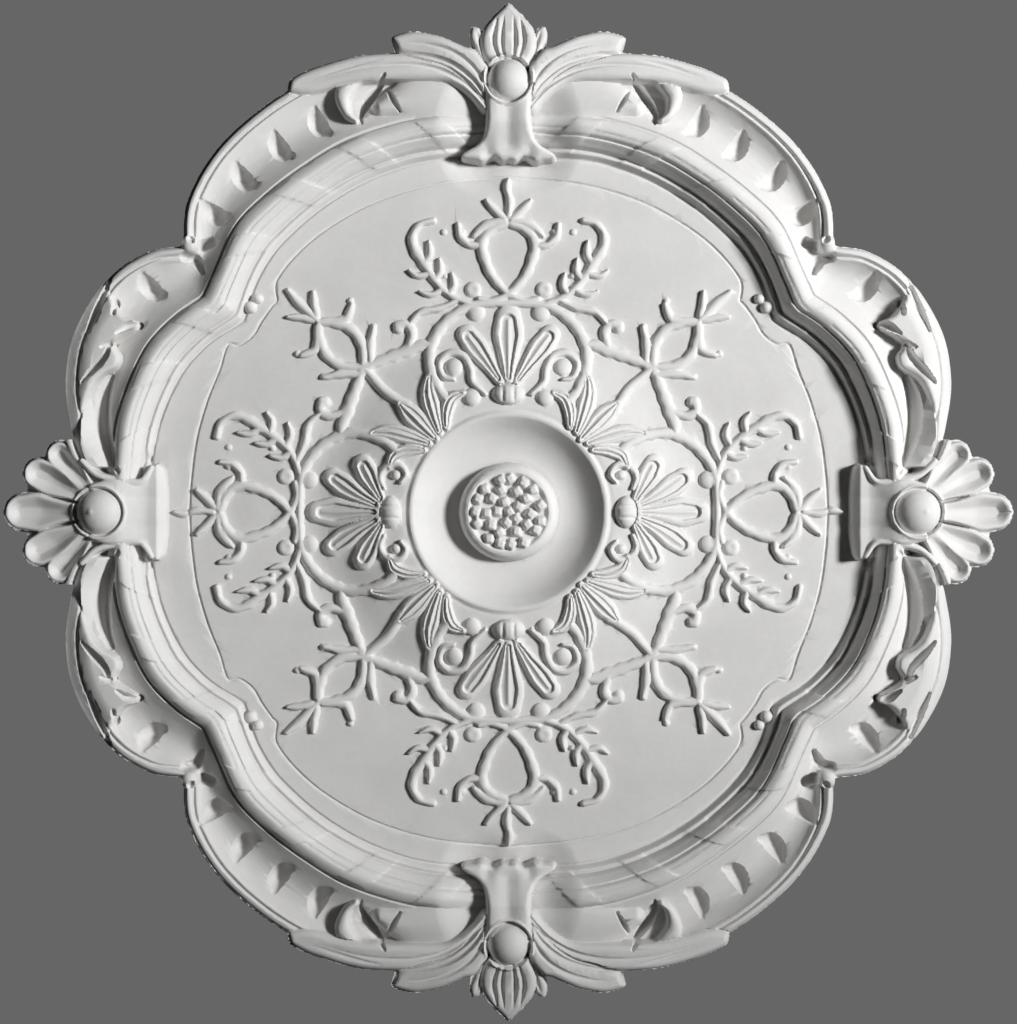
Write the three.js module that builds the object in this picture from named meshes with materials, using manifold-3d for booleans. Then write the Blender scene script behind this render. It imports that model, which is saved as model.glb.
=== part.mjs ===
// Plaster ceiling rose: a lobed frame of eight crescents, shells and crests on the axes, and
// a dished centre ringed by palmettes and arabesques, cast in one piece with a flat back.
//
// Lengths are millimetres. The relief is laid out as a wall chart, x to the right, y up and the
// height above the back as z, and the finished rose is turned face down, as it hangs.

import * as THREE from 'three';
import { mergeVertices } from 'three/addons/utils/BufferGeometryUtils.js';
import Module from 'manifold-3d';

const wasm = await Module();
wasm.setup();

// Driving dimensions
const FIELD_HEIGHT = 19;
const RING_RADIUS = 94;
const RING_HEIGHT = 41;
const SWELL_RADIUS = 182;
const FIELD_RADIUS = 342;
const DISH_FLOOR = 20;
const BOSS_RADIUS = 45;
const BOSS_HEIGHT = 38;
const BALL_HEIGHT = 40;
const LEAF_HEIGHT = 47;
const STEM_HEIGHT = 4.5;
const PETAL_HEIGHT = 6;
// How deep strokes reach into the ground, where raised pieces start inside the body, and how far
// up the cutters reach
const EDGE = 0.5;
const ROOT = 8;
const CUT_TOP = 70;

const STATIONS = 7;
const CENTRE_SIDES = 20;
const BOSS_SIDES = 16;
const FIELD_SIDES = 12;
const SCOOP_SIDES = 4;

// Each lobe's guide curves run from its axis to the diagonal, where it meets the next lobe
const TOP_LOBE = {
  outline: [[0, 426], [57, 434], [114, 436], [171, 419], [226, 390], [276, 346], [305, 296], [309, 253]],
  quirk: [[0, 382], [52, 377], [101, 369], [152, 352], [191, 329], [228, 301], [257, 271], [277, 228], [288, 204]],
  line: [[0, 321], [48, 317], [95, 309], [151, 283], [190, 252], [220, 215], [229, 183]],
};
const SIDE_LOBE = {
  outline: [[403, 0], [407, 43], [416, 81], [421, 124], [411, 172], [380, 222], [343, 247], [309, 253]],
  quirk: [[376, 0], [374, 47], [370, 86], [358, 123], [340, 159], [314, 186], [288, 204]],
  line: [[326, 0], [321, 51], [309, 93], [290, 127], [266, 151], [237, 166], [229, 183]],
};

// The frame's section: how far across (0 outline, 1 quirk, 2 field line) and how high
const SECTION = [
  [0, 0], [0, 33], [0.12, 40], [0.36, 28], [0.6, 28], [0.96, 42], [1.0, 37],
  [1.07, 50], [1.27, 51], [1.6, 26], [2.0, FIELD_HEIGHT - 0.4], [2.0, 0],
];

// The centre's profile: radius and height, from the foot of the swelling to the dish floor
const CENTRE = [
  [SWELL_RADIUS, FIELD_HEIGHT - 1], [SWELL_RADIUS - 6, FIELD_HEIGHT + 0.6], [138, 26],
  [RING_RADIUS + 4, 37.5], [RING_RADIUS, RING_HEIGHT], [RING_RADIUS - 4, RING_HEIGHT - 1],
  [80, 28], [62, 21.5], [BOSS_RADIUS - 8, DISH_FLOOR], [0, DISH_FLOOR],
];

// Arabesque strokes as [distance out along the axis, distance to its side]
const FINIAL = { path: [[273, 0], [320, 0]], width: 8, end: 0.5 };
const AXIS_STEMS = [
  { path: [[280, 3], [296, 21]], width: 7, end: 0.4 },
  { path: [[272, 4], [255, 27], [233, 25], [209, 1]], width: 9, end: 1 },
  { path: [[209, 1], [194, 41], [160, 72], [126, 72], [102, 54]], width: 9, end: 1 },
  { path: [[199, 49], [222, 77], [256, 88], [275, 72]], width: 9, end: 0.5 },
];
const DIAGONAL_FINIAL = { path: [[258, 0], [298, 0]], width: 10, end: 0.3 };
const DIAGONAL_STEMS = [
  { path: [[190, 1], [214, 18], [236, 15], [254, 1]], width: 8, end: 1 },
  { path: [[190, 6], [175, 54]], width: 8, end: 1 },
  { path: [[242, 17], [256, 34]], width: 7, end: 0.5 },
];
const PLUME_MIDDLE = { path: [[98, 0], [150, 0]], width: 16, end: 0.3 };
const PLUME_SIDE = { path: [[98, 8], [134, 24]], width: 14, end: 0.3 };
const PALMETTE_MIDDLE = { path: [[122, 0], [160, 0], [184, 0]], width: 22, end: 0.8 };
const PALMETTE_SIDE = [
  { path: [[121, 8], [170, 38]], width: 22, end: 0.8 },
  { path: [[113, 12], [139, 57]], width: 20, end: 0.8 },
];
const KNOB = { at: 112, radius: 12, height: 8 };
// The boss's florets, in rows as [distance from the middle, count]
const FLORET = { radius: 7, height: 8, rows: [[0, 1], [15.5, 6], [31, 12]] };

// Petal tips as [x, y, width]
const SHELL = { ball: 387, radius: 22, tips: [[480, 0, 40], [459, 44, 34], [428, 69, 30]] };
const CREST = { ball: 408, radius: 21, tips: [[0, 484, 40], [21, 470, 24], [35, 450, 20]] };
const CREST_LEAVES = [
  { path: [[18, 400], [50, 434], [84, 450], [112, 446]], width: 25 },
  { path: [[34, 392], [100, 424], [160, 426], [210, 402]], width: 24 },
];
// Necks from the balls down to the field, by half width
const SHELL_NECK = { path: [[391, 0], [352, 0], [338, 0], [324, 0]], narrow: 20, wide: 46, flare: 2.4, top: 51 };
const CREST_NECK = { path: [[0, 408], [0, 366], [0, 352], [0, 337]], narrow: 20, wide: 48, flare: 2.6, top: 52 };
// Round end of each side lobe's outer roll
const HORN = { x: 317, y: 240, radius: 12, height: 46, shoulder: 38 };
// The thin web that joins the shell's petals
const WEB = { at: 408, across: 55, along: 60, height: 26 };
// Deep hollows beside the necks
const SHELL_HOLLOW = { path: [[374, 44], [352, 34], [346, 56]], half: 8, floor: 27 };
const CREST_HOLLOW = { path: [[62, 402], [32, 377], [58, 347]], half: 10, floor: 24 };

// Scoops in the channel, spaced evenly from the first to the last part of the way to the diagonal
const TOP_SCOOPS = { first: 0.33, last: 0.93, count: 7 };
const SIDE_SCOOPS = { first: 0.35, last: 0.88, count: 5 };
const SCOOP = { across: 15, along: 9.5, floor: 21, brow: 30, place: 0.66 };

const plaster = new THREE.MeshStandardMaterial({ color: 0xe6e4e0, roughness: 0.75, metalness: 0 });

// Helpers
const mix = (a, b, t) => a + (b - a) * t;

function spline(points, steps) {
  const mirrored = points.slice(1).map(([x, y]) => (points[0][0] === 0 ? [-x, y] : [x, -y])).reverse();
  const curve = new THREE.CatmullRomCurve3(
    [...mirrored, ...points].map(([x, y]) => new THREE.Vector3(x, y, 0)), false, 'catmullrom', 0.5);
  return curve.getSpacedPoints(2 * steps).slice(steps).map((p) => [p.x, p.y]);
}

function smoothPath(points, steps) {
  const curve = new THREE.CatmullRomCurve3(
    points.map(([x, y]) => new THREE.Vector3(x, y, 0)), false, 'catmullrom', 0.5);
  return curve.getSpacedPoints(steps).map((p) => [p.x, p.y]);
}

// Height of the ground that the arabesques lie on, at a distance from the centre
function ground(radius) {
  if (radius >= CENTRE[0][0]) return FIELD_HEIGHT;
  const outer = CENTRE.findIndex(([r]) => r < radius) - 1;
  const [r0, h0] = CENTRE[outer];
  const [r1, h1] = CENTRE[outer + 1];
  return mix(h0, h1, (r0 - radius) / (r0 - r1));
}

// A solid from rings of vertices, each ring with the same count; the ends are closed
function skin(rings, closed) {
  const count = rings[0].length;
  const index = [];
  const last = closed ? rings.length : rings.length - 1;
  for (let i = 0; i < last; i += 1) {
    const next = (i + 1) % rings.length;
    for (let j = 0; j < count; j += 1) {
      const k = (j + 1) % count;
      index.push(i * count + j, i * count + k, next * count + k);
      index.push(i * count + j, next * count + k, next * count + j);
    }
  }
  if (!closed) {
    const end = (rings.length - 1) * count;
    for (let j = 1; j < count - 1; j += 1) {
      index.push(0, j + 1, j);
      index.push(end, end + j, end + j + 1);
    }
  }
  const geometry = new THREE.BufferGeometry();
  geometry.setAttribute('position', new THREE.Float32BufferAttribute(rings.flat(2), 3));
  geometry.setIndex(index);
  return geometry;
}

function signedVolume(vertices, triangles) {
  const corner = (i) => new THREE.Vector3().fromArray(vertices, 3 * triangles[i]);
  let volume = 0;
  for (let i = 0; i < triangles.length; i += 3) {
    volume += corner(i).dot(corner(i + 1).cross(corner(i + 2))) / 6;
  }
  return volume;
}

function solid(source) {
  const bare = source.clone();
  bare.deleteAttribute('normal');
  bare.deleteAttribute('uv');
  const merged = mergeVertices(bare, 1e-4);
  const vertProperties = new Float32Array(merged.attributes.position.array);
  const triVerts = new Uint32Array(merged.index.array);
  if (signedVolume(vertProperties, triVerts) < 0) {
    for (let i = 0; i < triVerts.length; i += 3) {
      [triVerts[i + 1], triVerts[i + 2]] = [triVerts[i + 2], triVerts[i + 1]];
    }
  }
  return new wasm.Manifold(new wasm.Mesh({ numProp: 3, vertProperties, triVerts }));
}

// A solid swept along a path on the chart. shape(s) gives its section there as
// [distance to the left, height] pairs, with s from 0 at the start to 1 at the end.
function sweep(path, shape) {
  const rings = path.map(([x, y], i) => {
    const before = path[Math.max(i - 1, 0)];
    const after = path[Math.min(i + 1, path.length - 1)];
    const length = Math.hypot(after[0] - before[0], after[1] - before[1]);
    const side = [-(after[1] - before[1]) / length, (after[0] - before[0]) / length];
    return shape(i / (path.length - 1), x, y).map(([d, h]) => [x + side[0] * d, y + side[1] * d, h]);
  });
  return solid(skin(rings, false));
}

// A ridged stem on the ground, its width at the far end `end` times its width at the root
function stem({ path, width, end }, height) {
  return sweep(smoothPath(path, path.length - 1), (s, x, y) => {
    const floor = ground(Math.hypot(x, y));
    const half = 0.5 * width * mix(1, end, s);
    return [[-half, floor - EDGE], [0, floor + height], [half, floor - EDGE]];
  });
}

// A leaf or petal from its root to its tip, standing on the back. `belly` above 1 puts its widest
// place past the middle, top(s) is the height of its edges and `scoop` the hollow between them
function leaf(path, width, steps, belly, top, scoop) {
  return sweep(smoothPath(path, steps), (s) => {
    const half = 0.5 * width * Math.sin(Math.PI * (0.1 + 0.82 * s ** belly)) ** 0.4;
    const rim = top(s);
    return [[-half, 0], [-half * 0.75, rim], [0, rim - scoop], [half * 0.75, rim], [half, 0]];
  });
}

// A neck from a ball down to the field, widening as it falls
function neck({ path, narrow, wide, flare, top }) {
  return sweep(path, (s) => {
    const half = mix(narrow, wide, s ** flare);
    const crown = mix(top, FIELD_HEIGHT + 1, s ** 2);
    return [[-half, ROOT], [-half, crown], [0, crown - 2 + 2 * s], [half, crown], [half, ROOT]];
  });
}

// A cutter for a hollow along a path, with sloping sides
function hollow({ path, half, floor }) {
  return sweep(smoothPath(path, 3), (s) => {
    const wide = half * Math.sqrt(Math.sin(Math.PI * (0.12 + 0.76 * s)));
    return [[-wide, CUT_TOP], [-0.5 * wide, floor], [0.5 * wide, floor], [wide, CUT_TOP]];
  });
}

// A round-topped button from foot to height, with its waist at the height `shoulder`
function dome(x, y, radius, height, shoulder, foot, around = 8, up = 2) {
  const profile = [new THREE.Vector2(0, foot), new THREE.Vector2(radius, foot)];
  for (let i = 0; i <= up; i += 1) {
    const angle = (i / up) * (Math.PI / 2);
    profile.push(new THREE.Vector2(radius * Math.cos(angle), mix(shoulder, height, Math.sin(angle))));
  }
  const turned = new THREE.LatheGeometry(profile, around);
  turned.rotateX(Math.PI / 2);
  turned.translate(x, y, 0);
  return solid(turned);
}

// The same solid in each quadrant or at each quarter turn
const mirrorX = (body) => body.mirror([1, 0, 0]);
const mirrorY = (body) => body.mirror([0, 1, 0]);
const quarters = (body) => [0, 90, 180, 270].map((angle) => body.rotate([0, 0, angle]));
const join = (bodies) => bodies.reduce((whole, body) => whole.add(body));

// The frame and the flat field inside it
function frameAndField() {
  const lobes = [TOP_LOBE, SIDE_LOBE].map((lobe) => ({
    outline: spline(lobe.outline, STATIONS), quirk: spline(lobe.quirk, STATIONS), line: spline(lobe.line, STATIONS),
  }));
  const quadrant = [];
  for (let i = 0; i < STATIONS; i += 1) quadrant.push([lobes[1], i]);
  for (let i = STATIONS; i > 0; i -= 1) quadrant.push([lobes[0], i]);
  const section = ([lobe, i]) => SECTION.map(([t, h]) => {
    const from = t < 1 ? lobe.outline[i] : lobe.quirk[i];
    const to = t < 1 ? lobe.quirk[i] : lobe.line[i];
    const part = t < 1 ? t : t - 1;
    return [mix(from[0], to[0], part), mix(from[1], to[1], part), h];
  });
  const flip = (ring, sx, sy) => ring.map(([x, y, h]) => [sx * x, sy * y, h]);
  const first = quadrant.map(section);
  const top = [lobes[0], 0];
  const rings = [
    ...first, section(top), ...first.slice(1).reverse().map((ring) => flip(ring, -1, 1)),
    ...first.map((ring) => flip(ring, -1, -1)), flip(section(top), 1, -1),
    ...first.slice(1).reverse().map((ring) => flip(ring, 1, -1)),
  ];
  const plate = new THREE.CylinderGeometry(FIELD_RADIUS, FIELD_RADIUS, FIELD_HEIGHT, FIELD_SIDES);
  plate.rotateX(Math.PI / 2);
  plate.translate(0, 0, FIELD_HEIGHT / 2);
  return solid(skin(rings, true)).add(solid(plate));
}

// The swelling ground, the ring and the dish
function centre() {
  const profile = [[0, 4], [SWELL_RADIUS, 4], ...CENTRE].map(([r, h]) => new THREE.Vector2(r, h));
  const turned = new THREE.LatheGeometry(profile, CENTRE_SIDES);
  turned.rotateX(Math.PI / 2);
  return solid(turned);
}

// The boss in the dish, with a plain margin and a cluster of small florets
function boss() {
  const profile = [
    [0, DISH_FLOOR - 4], [BOSS_RADIUS - 1, DISH_FLOOR - 4], [BOSS_RADIUS, BOSS_HEIGHT - 9],
    [BOSS_RADIUS - 4, BOSS_HEIGHT - 3], [BOSS_RADIUS - 12, BOSS_HEIGHT - 1], [0, BOSS_HEIGHT],
  ].map(([r, h]) => new THREE.Vector2(r, h));
  const turned = new THREE.LatheGeometry(profile, BOSS_SIDES);
  turned.rotateX(Math.PI / 2);
  const bodies = [solid(turned)];
  FLORET.rows.forEach(([radius, count], row) => {
    for (let i = 0; i < count; i += 1) {
      const angle = (i + 0.5 * row) * (2 * Math.PI / count);
      const floret = new THREE.ConeGeometry(FLORET.radius, FLORET.height, 3);
      floret.rotateX(Math.PI / 2);
      floret.translate(radius * Math.cos(angle), radius * Math.sin(angle), BOSS_HEIGHT + 2.2 - 0.06 * radius);
      bodies.push(solid(floret));
    }
  });
  return join(bodies);
}

// A row of bean-shaped hollows in the inner slope of the channel, for one quadrant
function scoops() {
  const { across, along, floor, brow, place } = SCOOP;
  const profile = [[0, floor], [1, brow], [1, CUT_TOP], [0, CUT_TOP]].map(([r, h]) => new THREE.Vector2(r, h));
  const bodies = [];
  const fine = 100;
  [[TOP_LOBE, TOP_SCOOPS], [SIDE_LOBE, SIDE_SCOOPS]].forEach(([lobe, { first, last, count }]) => {
    const outline = spline(lobe.outline, fine);
    const quirk = spline(lobe.quirk, fine);
    for (let k = 0; k < count; k += 1) {
      const i = Math.round(fine * mix(first, last, k / (count - 1)));
      const [ox, oy] = outline[i];
      const [qx, qy] = quirk[i];
      const bowl = new THREE.LatheGeometry(profile, SCOOP_SIDES);
      bowl.rotateX(Math.PI / 2);
      bowl.scale(across, along, 1);
      bowl.rotateZ(Math.atan2(qy - oy, qx - ox));
      bowl.translate(mix(ox, qx, place), mix(oy, qy, place), 0);
      bodies.push(solid(bowl));
    }
  });
  return join(bodies);
}

// The middle pieces with the side pieces on both sides of the axis
const aboutAxis = (middle, side) => join([...middle, ...side, ...side.map(mirrorY)]);

// Palmette against the ring with its enclosing stems, and the arabesque beyond it
function axisMotif() {
  const { at, radius, height } = KNOB;
  const knob = dome(at, 0, radius, ground(at) + height, ground(at) + 0.5 * height, ROOT, 6, 1);
  const middle = [knob, stem(FINIAL, STEM_HEIGHT), stem(PALMETTE_MIDDLE, PETAL_HEIGHT)];
  const side = [
    ...AXIS_STEMS.map((stroke) => stem(stroke, STEM_HEIGHT)),
    ...PALMETTE_SIDE.map((petal) => stem(petal, PETAL_HEIGHT)),
  ];
  return aboutAxis(middle, side);
}

// Knot of crossing stems on the diagonal, with a plume between it and the ring
function diagonalMotif() {
  const middle = [stem(DIAGONAL_FINIAL, STEM_HEIGHT), stem(PLUME_MIDDLE, PETAL_HEIGHT)];
  const side = [...DIAGONAL_STEMS.map((stroke) => stem(stroke, STEM_HEIGHT)), stem(PLUME_SIDE, PETAL_HEIGHT)];
  return aboutAxis(middle, side).rotate([0, 0, 45]);
}

// Shell at the end of the horizontal axis: scooped petals, a ball, and a neck down to the field
function shell() {
  const { ball, radius, tips } = SHELL;
  const petal = ([x, y, width]) => leaf(
    [[mix(ball, x, 0.1), 0.2 * y], [mix(ball, x, 0.55), 0.62 * y], [x, y]], width, 3,
    1.3, (s) => mix(LEAF_HEIGHT, 30, s), 6);
  const web = new THREE.CylinderGeometry(WEB.across, WEB.across, WEB.height, 10);
  web.rotateX(Math.PI / 2).scale(1, WEB.along / WEB.across, 1).translate(WEB.at, 0, WEB.height / 2);
  const side = tips.slice(1).map(petal);
  const bead = dome(ball, 0, radius, BALL_HEIGHT + radius, BALL_HEIGHT, ROOT, 8, 3);
  return aboutAxis([petal(tips[0]), neck(SHELL_NECK), bead, solid(web)], side);
}

// Crest at the end of the vertical axis: a fan over a ball, a neck, and leaves along the rim
function crest() {
  const { ball, radius, tips } = CREST;
  const flute = ([x, y, width]) => leaf(
    [[0.3 * x, mix(ball, y, 0.2)], [0.8 * x, mix(ball, y, 0.6)], [x, y]], width, 3,
    1.2, (s) => mix(LEAF_HEIGHT + 3, 32, s * s), 4);
  const leaves = CREST_LEAVES.map(({ path, width }) => leaf(path, width, 4, 1, () => LEAF_HEIGHT - 2, -3));
  const side = [flute(tips[1]), flute(tips[2]), ...leaves];
  const bead = dome(0, ball, radius, BALL_HEIGHT + radius + 2, BALL_HEIGHT, ROOT, 8, 3);
  return join([flute(tips[0]), ...side, ...side.map(mirrorX), neck(CREST_NECK), bead]);
}

// The round end of a side lobe's outer roll, at the diagonal
const corners = () => dome(HORN.x, HORN.y, HORN.radius, HORN.height, HORN.shoulder, ROOT, 7, 1);

// The whole rose
const inQuadrants = (body) => {
  const right = body.add(mirrorY(body));
  return right.add(mirrorX(right));
};
const sideShell = shell();
const topCrest = crest();
const cuts = join([scoops(), hollow(SHELL_HOLLOW), hollow(CREST_HOLLOW)]);
const rose = join([
  frameAndField().subtract(inQuadrants(cuts)), centre(), boss(), inQuadrants(corners()),
  ...quarters(axisMotif()), ...quarters(diagonalMotif()),
  sideShell, mirrorX(sideShell), topCrest, mirrorY(topCrest),
]);

const { vertProperties, triVerts } = rose.getMesh();
const geometry = new THREE.BufferGeometry();
geometry.setAttribute('position', new THREE.BufferAttribute(vertProperties, 3));
geometry.setIndex(new THREE.BufferAttribute(triVerts, 1));
geometry.computeVertexNormals();

const ceilingRose = new THREE.Mesh(geometry, plaster);
ceilingRose.name = 'ceiling_rose';
ceilingRose.rotation.x = Math.PI;

const group = new THREE.Group();
group.add(ceilingRose);

export default group;
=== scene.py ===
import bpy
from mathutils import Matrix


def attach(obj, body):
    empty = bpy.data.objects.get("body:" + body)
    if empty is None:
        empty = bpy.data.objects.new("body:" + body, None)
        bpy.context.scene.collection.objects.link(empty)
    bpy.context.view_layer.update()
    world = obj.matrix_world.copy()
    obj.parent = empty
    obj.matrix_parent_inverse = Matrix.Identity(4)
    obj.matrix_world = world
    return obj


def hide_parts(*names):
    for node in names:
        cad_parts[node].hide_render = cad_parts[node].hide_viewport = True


bl_info = {
    "name": "Plaster ceiling rose",
    "version": (1, 0, 0),
    "blender": (4, 5, 0),
    "location": "View3D > Sidebar > Rose",
    "description": "A lobed plaster ceiling rose with shells, crests and fine arabesques",
    "category": "Object",
}

import bpy
import bmesh
import numpy as np
from mathutils import Matrix, Vector

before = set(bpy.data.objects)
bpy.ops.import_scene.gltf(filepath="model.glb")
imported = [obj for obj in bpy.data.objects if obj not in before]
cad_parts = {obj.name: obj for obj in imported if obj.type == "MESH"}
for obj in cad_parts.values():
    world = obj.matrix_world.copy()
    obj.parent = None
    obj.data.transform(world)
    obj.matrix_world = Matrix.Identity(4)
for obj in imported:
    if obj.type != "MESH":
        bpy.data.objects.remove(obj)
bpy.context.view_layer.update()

# Driving dimensions, in millimetres on the chart: x right, y up, height above the flat back
CHART_X = 482.0
CHART_Y = 486.0
SWELL_RADIUS = 196.0
BOSS_RADIUS = 47.0
# A ball's height over the foot of its dome
BALL_RISE = 22.0
# A twig swells and narrows by this share of its width, once in each length
KNOTS = 0.09
KNOT_LENGTH = 14.0
# A ball's collar: its distance from the middle in radii, its half width, and its groove's half width
COLLAR = (1.13, 2.6, 2.4)
# Spacing of the points of the frame's curves and of the ornament's paths
CURVE_STEP = 2.5
PATH_STEP = 1.5
# How many distances are worked out at a time
BLOCK = 3e6
BOTH = (1, -1)
CORNERS = ((1, 1), (1, -1), (-1, 1), (-1, -1))
# Each lobe's guide curves run from its axis to the diagonal, where it meets the next lobe
TOP_LOBE = {
    "outline": ((0, 426), (57, 434), (114, 436), (171, 419), (226, 390), (276, 346), (305, 296), (309, 253)),
    "quirk": ((0, 382), (52, 377), (101, 369), (152, 352), (191, 329), (228, 301), (257, 271), (277, 228),
              (288, 204)),
    "foot": ((0, 321), (48, 317), (95, 309), (151, 283), (190, 252), (220, 215), (229, 183)),
}
SIDE_LOBE = {
    "outline": ((384, 0), (385, 14), (389, 29), (399, 44), (409, 61), (415, 82), (420, 124), (411, 172),
                (380, 222), (343, 247), (309, 253)),
    "quirk": ((376, 0), (374, 47), (370, 86), (358, 123), (340, 159), (314, 186), (288, 204)),
    "foot": ((326, 0), (321, 51), (309, 93), (290, 127), (266, 151), (237, 166), (229, 183)),
}
# The frame's section: how far across (0 outline, 1 quirk, 2 foot line) and how high
SECTION = ((0, 38), (0.12, 40.5), (0.22, 36), (0.36, 30), (0.5, 28), (0.64, 29.5), (0.8, 34.5), (0.93, 40),
           (1.02, 44), (1.1, 46.8), (1.18, 47.6), (1.27, 45), (1.36, 39), (1.45, 30.5), (1.52, 24),
           (1.57, 21), (1.64, 19.8), (1.8, 19.3), (2.2, 19))
# The centre's profile: radius and height, from the dish floor over its lip to the foot of the swelling
CENTRE = ((0, 20), (45, 20), (57, 20.6), (66, 22.8), (73, 26), (79, 30), (84, 34.6), (88.5, 39), (91, 41),
          (94, 41.2), (96, 39.4), (98, 38.4), (101, 38.6), (110, 37.4), (125, 34.6), (140, 30.8), (155, 26.4),
          (168, 22.6), (182, 20), (196, 19))
# The incised line round the field, from the side axis to the long axis
FIELD_LINE = ((306, 0), (304, 32), (299, 70), (289, 106), (277, 136), (269, 160), (258, 160), (245, 169),
              (236, 184), (226, 198), (222, 203), (222, 222), (200, 250), (170, 274), (130, 296), (84, 311),
              (40, 318), (0, 321))


def smooth(points, step=2.0):
    """A Catmull-Rom curve through the points, at an even spacing of about `step`. Between two points
    it is the cubic that leaves each of them in the direction of the line joining its neighbours."""
    p = np.asarray(points, float)
    if len(p) == 2:
        count = max(int(np.hypot(*(p[1] - p[0])) / step), 1)
        return p[0] + (p[1] - p[0]) * np.linspace(0, 1, count + 1)[:, None]
    p = np.vstack([2 * p[0] - p[1], p, 2 * p[-1] - p[-2]])
    t = np.linspace(0, 1, 13)[:-1, None]
    a, b, c, d = (p[i:len(p) - 3 + i, None, :] for i in range(4))
    bend, twist = 2 * a - 5 * b + 4 * c - d, 3 * b - a - 3 * c + d
    fine = 0.5 * (2 * b + (c - a) * t + bend * t ** 2 + twist * t ** 3)
    fine = np.vstack([fine.reshape(-1, p.shape[1]), p[-2]])
    run = np.concatenate([[0], np.cumsum(np.hypot(*np.diff(fine[:, :2], axis=0).T))])
    even = np.linspace(0, run[-1], max(int(run[-1] / step), 2) + 1)
    return np.stack([np.interp(even, run, fine[:, k]) for k in range(p.shape[1])], 1)


def profile(values, s):
    """A smooth curve through evenly spaced values, read at the shares s: Catmull-Rom, as in `smooth`."""
    values = np.atleast_1d(np.asarray(values, float))
    if len(values) < 3:
        return np.interp(s, np.linspace(0, 1, len(values)), values)
    steps = np.stack([np.arange(len(values), dtype=float), values], 1)
    line = smooth(steps, 0.08)
    return np.interp(s, line[:, 0] / (len(values) - 1), line[:, 1])


def nearest(path, x, y):
    """For each place, the nearest point of a polyline: its share of the way along, the distance to
    it and on which side of the path the place lies (+1 left)."""
    shape = np.shape(x)
    px, py = np.ravel(x).astype(np.float32), np.ravel(y).astype(np.float32)
    start = path[:-1].astype(np.float32)
    leg = np.diff(path, axis=0).astype(np.float32)
    length = np.hypot(leg[:, 0], leg[:, 1])
    before = np.concatenate([[0], np.cumsum(length)[:-1]]).astype(np.float32)
    along, away, side = (np.empty(len(px), np.float32) for _ in range(3))
    block = max(int(BLOCK / len(leg)), 1)
    for i in range(0, len(px), block):
        j = slice(i, i + block)
        dx = px[j, None] - start[:, 0]
        dy = py[j, None] - start[:, 1]
        t = np.clip((dx * leg[:, 0] + dy * leg[:, 1]) / length ** 2, 0, 1)
        gap = (dx - t * leg[:, 0]) ** 2 + (dy - t * leg[:, 1]) ** 2
        k = gap.argmin(1)
        row = np.arange(len(k))
        along[j] = (before[k] + t[row, k] * length[k]) / length.sum()
        away[j] = np.sqrt(gap[row, k])
        side[j] = np.sign(leg[k, 0] * dy[row, k] - leg[k, 1] * dx[row, k])
    return along.reshape(shape), away.reshape(shape), side.reshape(shape)


def within(path, x, y):
    """Which places lie inside the closed polyline: those from which a ray crosses it an odd number of
    times."""
    inside = np.zeros(np.shape(x), bool)
    for (x0, y0), (x1, y1) in zip(path, np.roll(path, -1, axis=0)):
        if y0 != y1:
            crosses = ((y0 > y) != (y1 > y)) & (x < (x1 - x0) * (y - y0) / (y1 - y0) + x0)
            inside ^= crosses
    return inside


def soft_step(low, high, v):
    t = np.clip((v - low) / (high - low), 0, 1)
    return t * t * (3 - 2 * t)


def ridge(distance, half, height):
    """A rounded ridge, or a groove for a negative height: the height times (1 - q squared) squared,
    with q the distance over the half width."""
    q = np.clip(np.abs(distance) / half, 0, 1)
    return height * (1 - q * q) ** 2


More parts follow.
